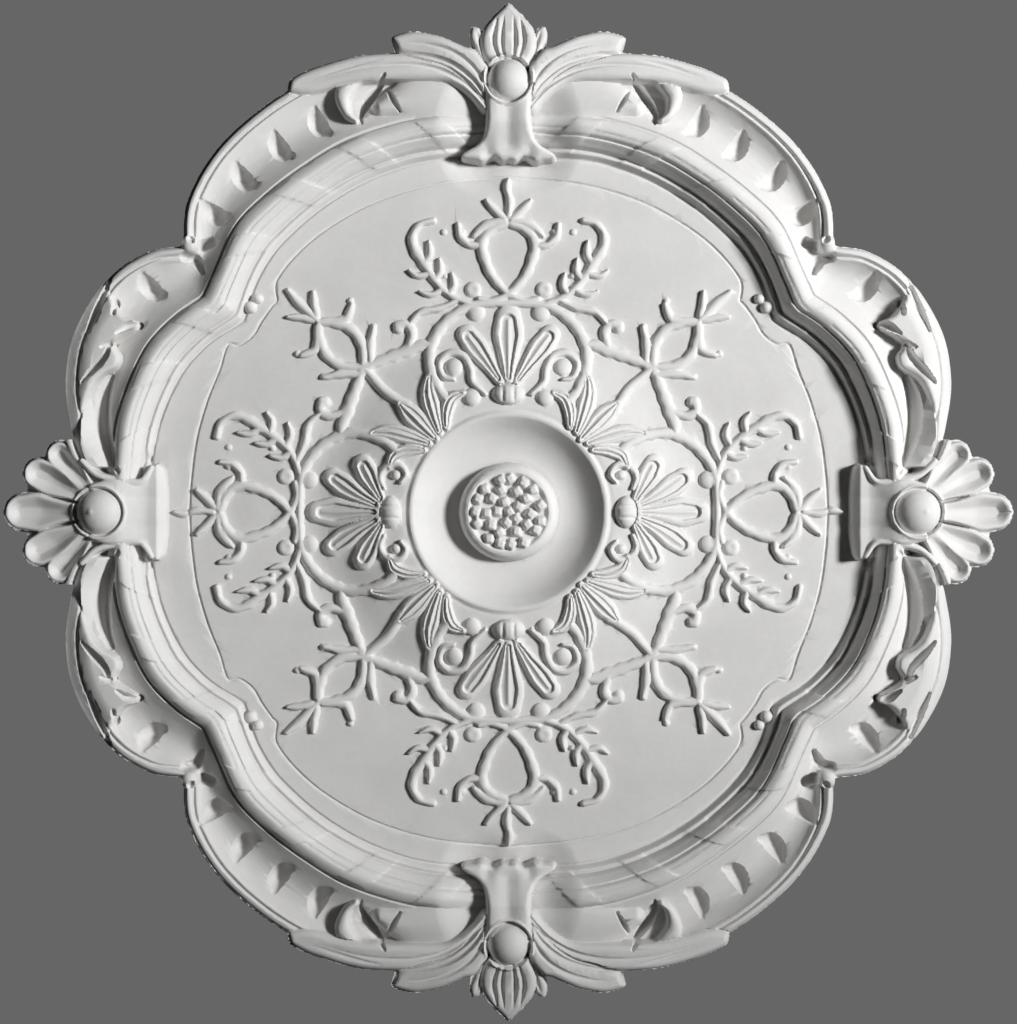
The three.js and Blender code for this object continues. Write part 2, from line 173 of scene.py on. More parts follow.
class Chart:
    """The relief on a square grid: `height` above the back, and `reach`, how far inside the silhouette."""

    def __init__(self, pitch, sizes):
        self.pitch = pitch
        self.ball_top, self.leaf, self.boss, self.stem, self.petal = (
            1000 * v for v in (sizes.ball, sizes.leaf, sizes.boss, sizes.stem, sizes.petal))
        self.nx = int(round(CHART_X / pitch))
        self.ny = int(round(CHART_Y / pitch))
        self.x = np.arange(-self.nx, self.nx + 1) * pitch
        self.y = np.arange(-self.ny, self.ny + 1) * pitch
        self.height = np.zeros((len(self.y), len(self.x)))
        self.reach = np.full_like(self.height, -1e3)
        self.relief = np.zeros_like(self.height)

    def window(self, path, margin):
        """The part of the grid within `margin` of a path, as slices and its coordinates."""
        cuts = []
        for axis, middle in ((0, self.nx), (1, self.ny)):
            ends = np.array([path[:, axis].min() - margin, path[:, axis].max() + margin])
            cuts.append(slice(*np.clip(np.rint(ends / self.pitch).astype(int) + middle, 0, 2 * middle + 1)))
        x, y = np.meshgrid(self.x[cuts[0]], self.y[cuts[1]])
        return (cuts[1], cuts[0]), x, y

    def lay(self, cut, gap, level, edge=False):
        """Puts a surface over the relief where `gap`, the distance inside its outline, is positive, with
        the cell on the outline shared out."""
        share = np.clip(0.5 + gap / self.pitch, 0, 1)
        self.height[cut] += (level - self.height[cut]) * share
        if edge:
            self.reach[cut] = np.maximum(self.reach[cut], gap)

    def cover(self, path, half, surface, edge=False):
        """Lays a band along a path over the relief. `half` holds its half width along the path and
        surface(s, q) the height at the share s of the way along and q half widths to the left."""
        cut, x, y = self.window(path, max(half) + 2 * self.pitch)
        s, away, side = nearest(path, x, y)
        wide = np.maximum(profile(half, s), 0.5)
        level = np.maximum(surface(s, side * away / wide), self.height[cut])
        self.lay(cut, wide - away, level, edge)

    def slab(self, outline, top, rounding, drop, edge=False):
        """Lays a plate with a closed outline over the relief. top(x, y) is its height, and its edge falls
        by `drop` in a quarter round over the distance `rounding`."""
        cut, x, y = self.window(outline, 3 * self.pitch)
        away = nearest(np.vstack([outline, outline[:1]]), x, y)[1]
        u = np.clip(1 - away / rounding, 0, 1)
        level = top(x, y) - drop * (1 - np.sqrt(1 - u * u))
        self.lay(cut, np.where(within(outline, x, y), away, -away), level, edge)

    def carve(self, path, half, depth, power=1.0):
        """Hollows the relief along a path: depth times (1 - q squared) to a power, q half widths away."""
        cut, x, y = self.window(path, np.max(half) + self.pitch)
        s, away, _ = nearest(path, x, y)
        q = np.clip(away / np.maximum(profile(half, s), 0.5), 0, 1)
        self.height[cut] -= profile(depth, s) * (1 - q * q) ** power

    def stroke(self, path, half, height, power=0.6, knots=0.0):
        """A rounded stem on the ground: its height times (1 - q squared) to a power, q half widths away.
        With `knots` it swells and narrows by that share, like a twig."""
        cut, x, y = self.window(path, 1.3 * np.max(half) + self.pitch)
        s, away, _ = nearest(path, x, y)
        length = np.hypot(*np.diff(path[:, :2], axis=0).T).sum()
        wide = profile(half, s) * (1 + knots * np.sin(2 * np.pi * s * length / KNOT_LENGTH))
        q = np.clip(away / np.maximum(wide, 0.5), 0, 1)
        self.relief[cut] = np.maximum(self.relief[cut], height * (1 - q * q) ** power)

    def ball(self, x, y, radius, foot, height, rim=0.0):
        """A round boss: a half ellipsoid from the height `foot` up to `height`. With `rim` it has a collar
        of that height, and a groove one and a half times as deep between them."""
        cut, gx, gy = self.window(np.array([[x, y]], float), radius * 1.4)
        r = np.hypot(gx - x, gy - y)
        if rim:
            place, half, groove = COLLAR
            self.height[cut] += ridge(r - place * radius, half, rim) - ridge(r - radius, groove, 1.5 * rim)
        top = foot + (height - foot) * np.sqrt(np.clip(1 - (r / radius) ** 2, 0, 1))
        self.lay(cut, radius - r, np.maximum(self.height[cut], top))

    def button(self, x, y, radius, height, pit=0.0):
        """A small round boss on the ground, with a dimple as deep as `pit` in its top."""
        cut, gx, gy = self.window(np.array([[x, y]], float), radius + self.pitch)
        r = np.hypot(gx - x, gy - y) / radius
        top = height * np.sqrt(np.clip(1 - r * r, 0, 1)) - pit * np.exp(-(r / 0.4) ** 2) * (r < 1)
        self.relief[cut] = np.maximum(self.relief[cut], top)


def quadrant_curve(name):
    """A guide curve of the frame through one quadrant, from the side axis to the long axis. Each lobe's
    part starts a little beyond its axis, mirrored, so that it crosses the axis square."""
    halves = []
    for lobe, mirror in ((SIDE_LOBE, (1, -1)), (TOP_LOBE, (-1, 1))):
        beyond = np.array(lobe[name][1:4])[::-1] * mirror
        halves.append(smooth(np.vstack([beyond, lobe[name]]), CURVE_STEP))
    side, top = halves
    return np.vstack([side, top[::-1][1:]])


# The outline's edge is rounded over this width and falls by this much
EDGE_ROUND = 4.5
EDGE_DROP = 5.0
# The rolls and grooves that follow the frame's curves, as (place, half width, height), with a groove's
# height negative: inside the outline, outside the quirk, and from the quirk to the foot line, whose
# distance counts as FOOT_SPAN
OUTER_ROLLS = ((9.5, 2.2, -3.2), (13, 2.4, 1.6))
QUIRK_GROOVE = (1.0, 2.4, -3.4)
FOOT_SPAN = 60.0
FOOT_ROLLS = ((37.5, 2.6, -2.4), (33.0, 2.8, 3.4), (28.6, 2.4, -3.6), (18.5, 1.8, -2.2))
# Ribbons wound round the torus: their spacing, slant and height. Reeds between them and the incised
# line round the field have a half width and a depth, the reeds after their place
RIBBON_PITCH = 78.0
RIBBON_SLANT = 0.9
RIBBON_RISE = 1.6
REEDS = ((-13.0, 1.6, 0.9), (-18.0, 1.6, 0.9), (-23.5, 1.6, 0.9))
FIELD_GROOVE = (1.9, 2.0)


def lay_frame(chart):
    """The frame, field, swelling, ring and dish, worked out for one quadrant and mirrored. Across the
    frame t goes from 0 to 1 between outline and quirk and to 2 at the foot line, as the share of the
    distances to the two curves on either side. The height is the section at t, plus rolls and
    grooves at fixed distances from the curves."""
    x, y = np.meshgrid(chart.x[chart.nx:], chart.y[chart.ny:])
    curves = {name: quadrant_curve(name) for name in ("outline", "quirk", "foot")}
    found = {name: nearest(curve, x, y) for name, curve in curves.items()}
    inside = {name: within(np.vstack([[0, -90], curve, [-90, 0]]), x, y) for name, curve in curves.items()}
    to_outline, to_quirk, to_foot = (found[name][1] for name in curves)
    t = np.where(inside["quirk"], 1 + to_quirk / (to_quirk + to_foot), to_outline / (to_outline + to_quirk))
    t = np.where(inside["foot"], 2 + to_foot / FOOT_SPAN, t)
    section = smooth(np.array(SECTION), 0.02)
    even_t = np.linspace(0, 2.2, 441)
    height = np.interp(t, even_t, np.interp(even_t, section[:, 0], section[:, 1]))
    radius = np.hypot(x, y)
    middle = np.interp(radius, *smooth(np.array(CENTRE), 1.0).T)
    height = np.where(inside["foot"], np.maximum(middle, np.where(radius < SWELL_RADIUS, 0, height)), height)
    out = np.where(inside["outline"], to_outline, -to_outline)
    deep = np.where(inside["quirk"], -to_quirk, to_quirk)
    across = np.where(inside["quirk"] & ~inside["foot"], FOOT_SPAN * (t - 1), 1e3)
    height -= EDGE_DROP * (1 - np.clip(out, 0, EDGE_ROUND) / EDGE_ROUND) ** 2
    for distance, rolls in ((out, OUTER_ROLLS), (deep, (QUIRK_GROOVE,)), (across, FOOT_ROLLS)):
        for place, half, rise in rolls:
            height += ridge(distance - place, half, rise)
    run = found["quirk"][0] * np.hypot(*np.diff(curves["quirk"], axis=0).T).sum()
    turn = np.mod((run + RIBBON_SLANT * deep) / RIBBON_PITCH, 1.0)
    on_torus = soft_step(0, -5, deep) * soft_step(-38, -30, deep)
    band = soft_step(0.06, 0.10, turn) * soft_step(0.42, 0.38, turn)
    height += on_torus * band * RIBBON_RISE
    for place, half, depth in REEDS:
        height -= ridge(deep - place, half, depth) * on_torus * (1 - band)
    height -= ridge(nearest(smooth(FIELD_LINE, 2.0), x, y)[1], *FIELD_GROOVE)

    def unfold(q):
        half = np.hstack([q[:, :0:-1], q])
        return np.vstack([half[:0:-1], half])

    chart.height[:] = unfold(height)
    chart.reach[:] = unfold(out)


def turned(points, angle, flip=1):
    """Places points given as (distance out along an axis, distance to its side) on the chart."""
    p = np.asarray(points, float) * (1, flip)
    c, s = np.cos(angle), np.sin(angle)
    return np.stack([p[:, 0] * c - p[:, 1] * s, p[:, 0] * s + p[:, 1] * c], 1)


def placed(points, angle, flip=1):
    """A smooth path through points set out along an axis."""
    return smooth(turned(points, angle, flip), PATH_STEP)


def closed(points, angle, flip=1):
    """A smooth closed outline, set out along an axis."""
    return placed(np.vstack([points, points[:1]]), angle, flip)[:-1]


def half_and_mirror(half):
    """A closed outline from one half of it, which ends on the axis."""
    half = np.asarray(half, float)
    return np.vstack([half, half[-2::-1] * (1, -1)])


def sides(path):
    """Both mirror images of a path, or one where it starts on the axis."""
    return BOTH if path[0][1] else (1,)


def carve_each(chart, cuts, angle, flip, power=1.0):
    """Carves cuts given as (path, half widths, depths) along an axis."""
    for path, half, depth in cuts:
        chart.carve(placed(path, angle, flip), half, depth, power)


# The arabesque on each axis: (path, half widths) with the paths as (out, aside)
AXIS_MIDDLE = (((319, 0), (309, 1.5), (297, -1.5), (283, 0)), (2.0, 4.2, 3.0, 4.4, 3.2, 4.0))
AXIS_SIDE = (
    (((281, 4), (288, 12), (298, 21)), (3.6, 4.2, 2.4)),
    (((278, 3), (277, 15), (271, 26), (264, 33)), (3.5, 4.4, 5.0, 2.0)),
    (((255, 29), (256, 38), (264, 46), (275, 48)), (3.2, 3.6, 3.8, 2.6)),
    (((276, 2), (269, 18), (257, 25.5), (243, 23), (228, 17), (215, 7), (207, -3), (202, -16), (204, -28)),
     (3.8, 4.6, 5.2, 5.0, 4.6, 4.2, 4.0, 3.6, 3.0)),
    (((200, 0), (198, 33), (189, 52), (175, 66), (158, 74), (140, 75), (118, 67), (104, 56)),
     (3.6, 4.0, 4.6, 5.2, 5.4, 5.2, 4.8, 4.2)),
    (((199, 36), (207, 55), (220, 69), (238, 81), (250, 89), (263, 92), (275, 85), (279, 72)),
     (3.4, 3.4, 3.8, 4.2, 5.0, 4.4, 3.4, 3.0)),
)
# Leaflets and buds along the spray and round the crossings: (path, half widths)
AXIS_LEAFLETS = (
    (((222, 70), (231, 65), (242, 66)), (2.8, 4.0, 1.4)),
    (((238, 80), (247, 75), (259, 76)), (2.8, 4.0, 1.4)),
    (((208, 57), (217, 52), (228, 54)), (2.8, 3.8, 1.4)),
    (((228, 76), (226, 87), (231, 95)), (2.6, 3.4, 1.2)),
    (((213, 63), (208, 74), (211, 85)), (2.6, 3.4, 1.2)),
    (((202, 50), (195, 66), (191, 84), (178, 96)), (2.6, 3.6, 3.6, 2.0)),
)
# Buds as (out, aside, radius, height, depth of the dimple)
AXIS_BUDS = ((213, 34, 8.0, 4.6, 1.6), (191, 31, 8.6, 5.2, 0.0), (268, 44, 3.4, 3.6, 0.0),
             (226, 61, 3.0, 3.2, 0.0), (268, 62, 3.2, 2.6, 0.0))
# Palmette petals: (path, half widths). The level palmettes have five petals, and the upright ones
# three, with a volute beside them
LEVEL_PETALS = (
    (((120, 0), (150, 0), (182, 0)), (4.0, 6.5, 10.5, 14.5, 11.0)),
    (((121, 5), (146, 18), (168, 33)), (3.6, 5.6, 8.5, 11.0, 9.5)),
    (((119, 9), (129, 27), (139, 46)), (3.6, 5.4, 8.0, 10.5, 9.5)),
)
UPRIGHT_PETALS = (
    (((120, 0), (152, 0), (187, 0)), (4.0, 7.0, 11.0, 15.0, 12.0)),
    (((121, 6), (145, 22), (170, 40)), (3.6, 5.6, 8.5, 11.0, 9.5)),
)
# Volutes as (path, half widths): a horn that winds in to a ball
LEVEL_VOLUTE = (((118, 22), (122, 33), (116, 43), (104, 45), (97, 36), (102, 28)),
                (2.0, 3.2, 3.6, 3.6, 3.0, 2.0))
UPRIGHT_VOLUTE = (((112, 22), (124, 34), (136, 36), (149, 43), (152, 56), (142, 66), (129, 62), (126, 52)),
                  (2.2, 3.2, 3.4, 3.8, 3.8, 3.4, 3.0, 2.0))
CURLS = ((107, 35, 5.0, 5.0, 0.0),)
UPRIGHT_CURLS = ((138, 52, 8.5, 5.4, 0.0), (109, 35, 8.5, 5.6, 0.0))
# The petals' hollows as (share of the half width, depth, rib), and their stretch of the path
PETAL_HOLLOW = (0.64, 3.6, 2.2)
PETAL_HEART = (0.12, 0.95)
PLUME_HOLLOW = (0.6, 2.0, 2.4)
# The clasp at the palmette's foot: how far out, half its size out and aside, and its height
CLASP = (112, 10.5, 15.5, 10.0)

# The knot of stems on each diagonal
KNOT_MIDDLE = (
    (((256, 0), (268, 0), (283, 0.5), (299, -1)), (3.2, 4.4, 4.8, 2.6)),
    (((196, 0), (182, 1), (166, 2), (150, -1), (140, -5)), (4.0, 4.6, 5.0, 5.0, 3.6)),
)
KNOT_SIDE = (
    (((192, -5), (203, 7), (215, 15), (230, 17), (244, 11), (256, 1)), (3.6, 4.4, 5.0, 5.0, 4.6, 3.6)),
    (((196, 0), (187, 20), (178, 40), (171, 55), (164, 62)), (4.4, 5.2, 6.0, 6.2, 3.0)),
    (((194, 8), (207, 20), (216, 34)), (3.4, 4.6, 2.4)),
    (((255, 4), (241, 19), (246, 34)), (3.0, 4.8, 3.0)),
    (((262, 3), (272, 9), (281, 17)), (3.0, 4.0, 2.2)),
    (((179, 44), (186, 56), (196, 58), (201, 51)), (3.0, 4.6, 4.6, 4.6)),
)
KNOT_BUDS = ((250, 36, 3.2, 3.4, 0.0), (217, 34, 3.4, 3.6, 0.0), (199, 50, 5.6, 5.0, 0.0))
PLUME = (
    (((98, 15), (108, 25), (114, 38), (110, 50)), (3.0, 5.5, 6.5, 6.0, 3.0)),
    (((99, 7), (117, 16), (135, 27), (146, 40)), (3.6, 6.5, 8.5, 7.0, 3.0)),
    (((98, 0), (122, 0), (148, 0)), (4.0, 7.0, 10.0, 9.0, 3.0)),
)

# Shell: its ball as (out, radius), the ellipse of the web under its petals as (out, half across,
# half along), and its petals as (path, half widths)
SHELL_BALL = (387, 22.0)
SHELL_WEB = (404, 56, 70)
WEB_GROUND = 34
PETAL_GROUND = 36.0
SHELL_PETALS = (
    (((396, 22), (410, 38), (425, 54)), (5, 8, 11, 13, 13)),
    (((402, 14), (424, 26), (445, 36)), (6, 9, 13, 16, 15)),
    (((404, 0), (434, 0), (461, 0)), (8, 10, 14, 19, 17)),
)
# The leaf that runs from each shell up the rim, by outline, with the web under it, the channel
# beside it and the gaps between its fingers. Cuts are given as (path, half widths, depths)
SIDE_LEAF = ((396, 42), (404, 60), (405, 84), (400, 104), (392, 121), (383, 130), (371, 137), (368, 147),
             (374, 158), (366, 166), (352, 174), (352, 180), (364, 186), (374, 199), (382, 216), (396, 206),
             (412, 180), (421, 150), (424, 124), (419, 88), (412, 62), (404, 46))
SIDE_WEB = ((376, 42), (382, 64), (385, 90), (383, 116), (374, 138), (384, 142), (404, 140), (426, 134),
            (425, 90), (417, 62), (405, 44))
SIDE_CHANNEL = (
    (((369, 38), (379, 58), (386, 84), (385, 108), (378, 128)),
     (2.5, 6.0, 7.5, 7.0, 4.0), (3, 11, 13, 12, 6)),
)
SIDE_GAPS = (
    (((377, 158), (381, 147), (391, 136), (403, 123)), (2.4, 3.6, 3.6, 1.8), (7, 13, 12, 6)),
    (((375, 160), (384, 156)), (3.0, 2.2), (6, 3)),
    (((350, 177), (359, 176), (370, 169)), (3.4, 3.8, 1.6), (10, 11, 4)),
    (((372, 200), (373, 188)), (2.2, 2.6), (6, 7)),
    (((377, 222), (384, 206), (393, 184), (398, 172)), (1.6, 3.2, 3.8, 2.2), (2, 6, 7, 4)),
)
# Half of the outline of the plate between ball and field, from the ball to the axis, its lip as
# (path, half widths) and the cut behind its ear
SHELL_PLATE = ((396, 27), (378, 31), (366, 30), (356, 28), (349, 29), (343, 34), (339, 42), (334, 46),
               (329, 41), (327, 30), (326, 16), (326, 0))
PLATE_LIP = (((403, 48), (390, 36), (374, 31), (358, 28), (347, 30), (339, 42)), (3.2, 3.6, 3.4, 3.0))
PLATE_CURL = (
    (((352, 44), (346, 50), (345, 57)), (2, 4.5, 5.5, 3), (2, 5, 6, 1)),
)

# Crest: its ball, plate, and the dips of the torus beside it
CREST_BALL = (408, 20.5)
CREST_PLATE = ((404, 24), (390, 22), (376, 21), (364, 22), (355, 25), (349, 31), (344, 40), (340, 45),
               (336, 43), (335, 34), (333, 25), (338, 15), (334, 7), (335, 0))
CREST_DIP = (
    (((398, 20), (372, 22), (346, 26)), (44, 50, 44), (10, 14, 11)),
)
# The fan over the crest's ball: a middle leaf and a small one at each side, by outline, and the
# furrows in them
FAN_MIDDLE = ((420, 18), (432, 25), (446, 27), (458, 24), (468, 17), (477, 9), (484, 0))
FAN_SIDE = ((418, 16), (428, 26), (440, 33), (452, 37), (461, 34), (458, 27), (448, 23), (430, 12))
FAN_FURROWS = tuple(
    (((428, 0.75 * aside), (446, 1.1 * aside), (470, 0.8 * aside)), (1.6, 3.0, 1.0), (2.0, 4.2, 0.6))
    for aside in (-13, -5.5, 5.5, 13))
FAN_SIDE_FURROW = (
    (((424, 18), (440, 25), (454, 30)), (1.4, 3.0, 1.6), (1.0, 3.4, 1.0)),
)
# Leaves along the rim, by outline, and the furrows along them
UPPER_LEAF = ((388, 14), (410, 17), (426, 22), (437, 32), (440, 42), (446, 55), (451, 68), (455, 88),
              (453, 103), (449, 111), (441, 108), (434, 103), (427, 84), (421, 62), (408, 42), (392, 26))
LOWER_LEAF = ((380, 14), (394, 24), (414, 42), (426, 62), (433, 86), (434, 104), (432, 144), (422, 182),
              (413, 203), (406, 209), (397, 207), (396, 188), (402, 164), (407, 136), (408, 108), (408, 84),
              (407, 62), (401, 48), (390, 34), (378, 24))
LEAF_FURROWS = (
    (((398, 20), (420, 34), (434, 54), (441, 76), (443, 94)), (1.2, 2.6, 2.4, 1.2), (1.0, 3.4, 2.6, 0.6)),
    (((388, 20), (408, 34), (424, 56), (432, 84), (433, 102)), (1.2, 2.8, 2.6, 1.6), (1.4, 4.4, 4.0, 2.4)),
    (((384, 22), (402, 38), (415, 60), (421, 84), (422, 108), (419, 140), (410, 176)),
     (1.2, 2.6, 2.4, 2.0, 1.6), (1.4, 3.6, 2.4, 1.4, 0.4)),
    (((428, 118), (421, 150), (410, 186)), (1.0, 2.2, 1.0), (0.4, 1.8, 0.4)),
)
# The cushion that fills the channel between the crest's leaves and the torus
CREST_FILL = (((384, 24), (390, 56), (391, 84), (388, 106), (384, 120)), (16, 26, 27, 22, 10))
# The finger of the lower leaf that curls down into the channel, and the two dark gaps beside it
FINGER = (((420, 130), (411, 147), (395, 157), (378, 153), (371, 145)), (5.0, 8.0, 8.5, 5.5, 2.5))
FINGER_GAPS = (
    (((413, 117), (402, 125), (390, 134), (378, 140), (369, 139)),
     (1.6, 3.2, 4.2, 3.2, 1.4), (6, 14, 16, 12, 5)),
    (((400, 114), (390, 109), (380, 103)), (1.8, 3.0, 1.6), (5, 9, 5)),
)


def petal_surface(root, tip, scoop):
    """A petal's height: from root to tip it falls evenly, and inside its rim it is hollowed like a
    spoon, deeper towards the tip. The rim is a quarter round outside."""
    def surface(s, q):
        a = np.abs(q)
        edge = 7.0 * (1 - np.sqrt(1 - np.clip((a - 0.78) / 0.22, 0, 1) ** 2))
        bowl = scoop * soft_step(-0.1, 0.8, s) * (1 - soft_step(0.1, 0.82, a))
        return root + (tip - root) * s - edge - bowl
    return surface


def lay_shell(chart, side):
    """The shell at the end of the horizontal axis: five hollowed petals on a web round a ball, a leaf
    up the rim each way, and the plate between the ball and the field with an ear at each corner."""
    ball, radius = SHELL_BALL
    angle = 0 if side > 0 else np.pi
    out, across, along = SHELL_WEB
    x, y = np.meshgrid(chart.x, chart.y)
    web = (1 - np.hypot((side * x - out) / across, y / along)) * across
    beyond = (web > -chart.pitch) & (chart.reach < 6)
    chart.height = np.where(beyond, np.maximum(chart.height, WEB_GROUND), chart.height)
    chart.reach = np.maximum(chart.reach, np.where(side * x > 380, web, -1e3))
    for path, half in SHELL_PETALS:
        for flip in sides(path):
            line = smooth(turned(path, angle, flip))
            chart.cover(line, np.array(half) + 1.6, lambda s, q: PETAL_GROUND + 0 * s, edge=True)
            chart.cover(line, half, petal_surface(chart.leaf, chart.leaf - 3, 9.0), edge=True)
    rim = quadrant_curve("outline")

    def from_rim(x, y):
        return nearest(rim, np.abs(x), np.abs(y))[1]

    def leaf_top(x, y):
        inside = from_rim(x, y)
        return 37.5 + 10.5 * soft_step(-4, 26, inside) - ridge(inside - 11, 2.2, 1.8)

    def plate_top(x, y):
        out = side * x
        level = 50 - 12 * soft_step(372, 340, out) - 8 * soft_step(335, 326, out)
        return level - 1.6 * np.exp(-((np.abs(y) - 14) / 6) ** 2) * soft_step(372, 350, out)
    for flip in BOTH:
        web_outline = closed(SIDE_WEB, angle, flip)
        chart.slab(web_outline, lambda x, y: 46.0 - 0.85 * np.clip(from_rim(x, y) - 9, 0, 14), 3.0, 2.0)
        carve_each(chart, SIDE_CHANNEL, angle, flip, 0.5)
        chart.slab(closed(SIDE_LEAF, angle, flip), leaf_top, 5.0, 5.0)
        carve_each(chart, SIDE_GAPS, angle, flip, 0.5)
    chart.slab(placed(half_and_mirror(SHELL_PLATE), angle), plate_top, 4.0, 5.0)
    for flip in BOTH:
        path, half = PLATE_LIP
        chart.cover(placed(path, angle, flip), half, lambda s, q: 49 - 9 * s ** 2 - 3 * q * q)
        carve_each(chart, PLATE_CURL, angle, flip)
    chart.ball(side * ball, 0, radius, chart.ball_top - BALL_RISE, chart.ball_top, rim=2.6)
    chart.ball(side * (ball + 4), 0, 4.5, chart.ball_top - 3, chart.ball_top + 0.6)


def lay_crest(chart, side):
    """The crest at the end of the vertical axis: a fan over a ball, two leaves each way along the rim,
    and a plate down to the field, at whose sides the torus dips."""
    ball, radius = CREST_BALL
    up = np.pi / 2 * side

    def falling(level, fall):
        return lambda x, y: level - fall * (side * y - 430)

    def along_rim(level, near, far):
        return lambda x, y: level - 7.0 * soft_step(near, far, np.abs(x))

    def plate_top(x, y):
        out = side * y
        level = 53 - 17 * soft_step(374, 340, out)
        hollow = 3.4 * np.exp(-(x / 8) ** 2) * soft_step(338, 352, out)
        return level - hollow - 2.2 * np.exp(-((np.abs(x) - 20) / 5) ** 2) * soft_step(360, 342, out)
    for flip in BOTH:
        path, half = CREST_FILL
        chart.cover(placed(path, up, flip), half, lambda s, q: 46.5 - 11 * q * q - 3 * s * s)
    for flip in BOTH:
        carve_each(chart, CREST_DIP, up, flip, 2.0)
    for flip in BOTH:
        path, half = FINGER
        bent = placed(path, up, flip)
        chart.cover(bent, half, lambda s, q: 38 + 8 * np.sqrt(1 - 0.95 * np.clip(q * q, 0, 1)) - 2 * s)
        chart.slab(closed(LOWER_LEAF, up, flip), along_rim(50.0, 90, 210), 7.0, 9.0, edge=True)
        chart.slab(closed(UPPER_LEAF, up, flip), along_rim(53.0, 40, 112), 7.0, 9.0, edge=True)
        carve_each(chart, LEAF_FURROWS, up, flip)
        carve_each(chart, FINGER_GAPS, up, flip, 0.5)
    for flip in BOTH:
        chart.slab(closed(FAN_SIDE, up, flip), falling(46, 0.2), 4.0, 6.0, edge=True)
        carve_each(chart, FAN_SIDE_FURROW, up, flip)
    chart.slab(placed(half_and_mirror(FAN_MIDDLE), up), falling(50, 0.22), 7.0, 9.0, edge=True)
    carve_each(chart, FAN_FURROWS, up, 1)
    chart.slab(placed(half_and_mirror(CREST_PLATE), up), plate_top, 6.0, 8.0)
    chart.ball(0, side * ball, radius, chart.ball_top - BALL_RISE, chart.ball_top, rim=2.6)


# Middles of the scoops in the channel of each quadrant
SCOOPS = ((181, 371), (218, 348), (253, 319), (281, 285), (341, 214))
# A scoop's middle line as (towards the quirk, along the moulding), its half widths and its depths
BEAN = (((-14, -3), (-7, 0), (0, 1.5), (8, 0), (14, -4)),
        (3.0, 7.5, 9.0, 8.5, 4.5), (3.0, 8.0, 10.5, 10.0, 4.0))


def lay_scoops(chart):
    """Bean-shaped hollows in the inner slope of the channel, lying across the moulding."""
    quirk = quadrant_curve("quirk")
    line, half, depth = BEAN
    for middle in SCOOPS:
        gap = quirk - middle
        across = gap[np.hypot(gap[:, 0], gap[:, 1]).argmin()]
        across = across / np.hypot(*across)
        along = np.array([-across[1], across[0]])
        bean = np.array([across * far + along * aside for far, aside in line]) + middle
        for corner in CORNERS:
            chart.carve(smooth(bean * corner, PATH_STEP), half, depth, 0.55)


# The scroll at each diagonal, as cuts of (path, half widths, depth) before and after its ball, whose
# values are (x, y, radius, foot, top), and the two beads in the corner of the field
SCROLL_CUTS = (
    (((283, 257), (291, 254)), 5.5, 11.0),
    (((308, 242), (298, 240), (291, 228)), (4.0, 5.5, 3.0), 11.0),
)
SCROLL_BALL = (303, 254, 9.0, 34, 45)
SCROLL_EYE = ((((300, 257), (302, 259)), 3.0, 6.0),)
CORNER_BEADS = ((247, 196, 6.0, 20, 27), (240, 204, 5.0, 20, 26))


def lay_corners(chart):
    """The side lobes' outer rolls end at the diagonals in a small pierced scroll, and a bead knot sits
    in each corner of the field."""
    for corner in CORNERS:
        for cuts, balls in ((SCROLL_CUTS, (SCROLL_BALL,)), (SCROLL_EYE, CORNER_BEADS)):
            for path, half, depth in cuts:
                chart.carve(smooth(np.array(path) * corner), half, depth, 0.6)
            for x, y, radius, foot, top in balls:
                chart.ball(corner[0] * x, corner[1] * y, radius, foot, top)


def lay_stems(chart, stems, angle, flip):
    """Knotty stems given as (path, half widths) along an axis."""
    for path, half in stems:
        chart.stroke(placed(path, angle, flip), half, chart.stem, 0.5, KNOTS)


def lay_buds(chart, buds, angle, flip):
    """Small round bosses along an axis."""
    for out, aside, radius, height, pit in buds:
        x, y = turned(((out, aside),), angle, flip)[0]
        chart.button(x, y, radius, height, pit)


def lay_arabesques(chart):
    """The fine relief of the field: the same motif on each axis and on each diagonal, with the upright
    and the level palmettes in two patterns."""
    for quarter in range(4):
        angle = quarter * np.pi / 2
        petals, volute, curls = ((UPRIGHT_PETALS, UPRIGHT_VOLUTE, UPRIGHT_CURLS) if quarter % 2 else
                                 (LEVEL_PETALS, LEVEL_VOLUTE, CURLS))
        path, half = AXIS_MIDDLE
        chart.stroke(placed(path, angle), half, chart.stem)
        for flip in BOTH:
            lay_stems(chart, AXIS_SIDE + AXIS_LEAFLETS, angle, flip)
            path, half = volute
            chart.stroke(placed(path, angle, flip), half, chart.stem, 0.45)
            lay_buds(chart, AXIS_BUDS + curls, angle, flip)
        petals = [(placed(path, angle, flip), half)
                  for path, half in petals for flip in sides(path)]
        for path, half in petals:
            chart.stroke(path, half, chart.petal, 0.35)
        for path, half in petals:
            first, last = (int(share * len(path)) for share in PETAL_HEART)
            sink(chart, path[first:last], half, *PETAL_HOLLOW)
        lay_clasp(chart, angle)
        angle += np.pi / 4
        for flip in BOTH:
            lay_stems(chart, KNOT_SIDE, angle, flip)
            for path, half in PLUME:
                line = placed(path, angle, flip)
                chart.stroke(line, half, chart.petal, 0.4)
                sink(chart, line[1:-2], half, *PLUME_HOLLOW)
            lay_buds(chart, KNOT_BUDS, angle, flip)
        for path, half in KNOT_MIDDLE:
            chart.stroke(placed(path, angle), half, chart.stem)


